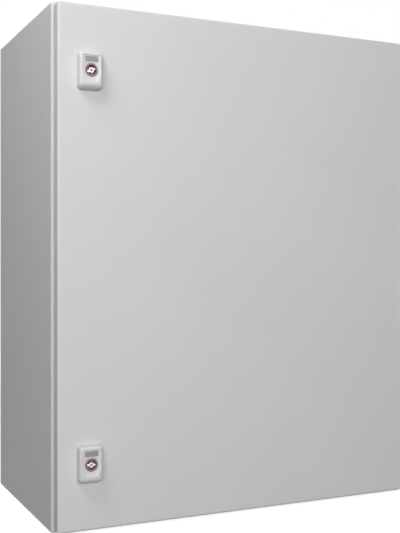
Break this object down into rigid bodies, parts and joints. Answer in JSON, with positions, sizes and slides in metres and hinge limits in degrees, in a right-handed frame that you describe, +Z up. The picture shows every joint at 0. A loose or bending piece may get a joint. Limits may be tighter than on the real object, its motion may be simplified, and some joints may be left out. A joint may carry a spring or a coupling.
{
  "type": "wall-mounted steel enclosure",
  "caption": "Upright wall-mounted sheet-steel cabinet with a flush hinged door, key-operated cam locks, an inner mounting plate and a bottom gland plate.",
  "frame": {"origin": "middle of the four wall-fixing holes, on the wall plane", "axes": "+X to the right of someone facing the door, +Y into the wall, +Z up"},
  "size_m": [0.6, 0.364, 0.76],
  "materials": {
    "light_grey_coat": "light grey powder coat with a fine orange-peel texture",
    "galvanised_plate": "galvanised sheet, satin",
    "zinc_plated_steel": "bright zinc plating",
    "bright_pin_steel": "ground steel",
    "die_cast_zinc": "die-cast zinc, slightly matt",
    "seal_foam": "foamed polyurethane seal with a soft skin",
    "gasket_rubber": "matt rubber",
    "housing_plastic": "light grey moulded plastic, finely eroded",
    "ring_plastic": "dark rose moulded plastic",
    "label_plastic": "dark grey blank plate"
  },
  "bodies": {
    "enclosure": {"body_wrap": "light_grey_coat", "rear_panel": "light_grey_coat", "mounting_studs": "zinc_plated_steel", "mounting_plate": "galvanised_plate", "plate_washers": "zinc_plated_steel", "plate_nuts": "zinc_plated_steel", "gland_seal": "seal_foam", "gland_plate": "light_grey_coat", "gland_studs": "zinc_plated_steel", "gland_nuts": "zinc_plated_steel", "body_earth_stud": "zinc_plated_steel", "body_earth_washer": "zinc_plated_steel", "body_earth_nut": "zinc_plated_steel", "upper_hinge_bracket": "die_cast_zinc", "lower_hinge_bracket": "die_cast_zinc", "hinge_bracket_screws": "zinc_plated_steel"},
    "door": {"door_panel": "light_grey_coat", "door_seal": "seal_foam", "door_rail_left": "light_grey_coat", "door_rail_right": "light_grey_coat", "door_earth_stud": "zinc_plated_steel", "door_earth_washer": "zinc_plated_steel", "door_earth_nut": "zinc_plated_steel", "upper_hinge_leaf": "die_cast_zinc", "lower_hinge_leaf": "die_cast_zinc", "upper_hinge_pin": "bright_pin_steel", "lower_hinge_pin": "bright_pin_steel", "hinge_leaf_studs": "zinc_plated_steel", "hinge_leaf_nuts": "zinc_plated_steel", "upper_lock_housing": "housing_plastic", "upper_lock_gasket": "gasket_rubber", "upper_lock_ring": "ring_plastic", "upper_lock_label": "label_plastic", "upper_lock_barrel": "die_cast_zinc", "upper_lock_nut": "die_cast_zinc", "lower_lock_housing": "housing_plastic", "lower_lock_gasket": "gasket_rubber", "lower_lock_ring": "ring_plastic", "lower_lock_label": "label_plastic", "lower_lock_barrel": "die_cast_zinc", "lower_lock_nut": "die_cast_zinc"},
    "upper_lock": {"upper_lock_insert": "die_cast_zinc", "upper_lock_cam": "zinc_plated_steel", "upper_cam_washer": "zinc_plated_steel", "upper_cam_screw": "zinc_plated_steel"},
    "lower_lock": {"lower_lock_insert": "die_cast_zinc", "lower_lock_cam": "zinc_plated_steel", "lower_cam_washer": "zinc_plated_steel", "lower_cam_screw": "zinc_plated_steel"}
  },
  "joints": [
    {"name": "door_hinge", "type": "hinge", "parent": "enclosure", "child": "door", "pos_m": [0.2895, -0.341, 0], "axis": [0, 0, 1], "range_deg": [0, 130]},
    {"name": "upper_lock_turn", "type": "hinge", "parent": "door", "child": "upper_lock", "pos_m": [-0.2508, -0.35, 0.28], "axis": [0, 1, 0], "range_deg": [0, 90]},
    {"name": "lower_lock_turn", "type": "hinge", "parent": "door", "child": "lower_lock", "pos_m": [-0.2508, -0.35, -0.28], "axis": [0, 1, 0], "range_deg": [0, 90]}
  ]
}
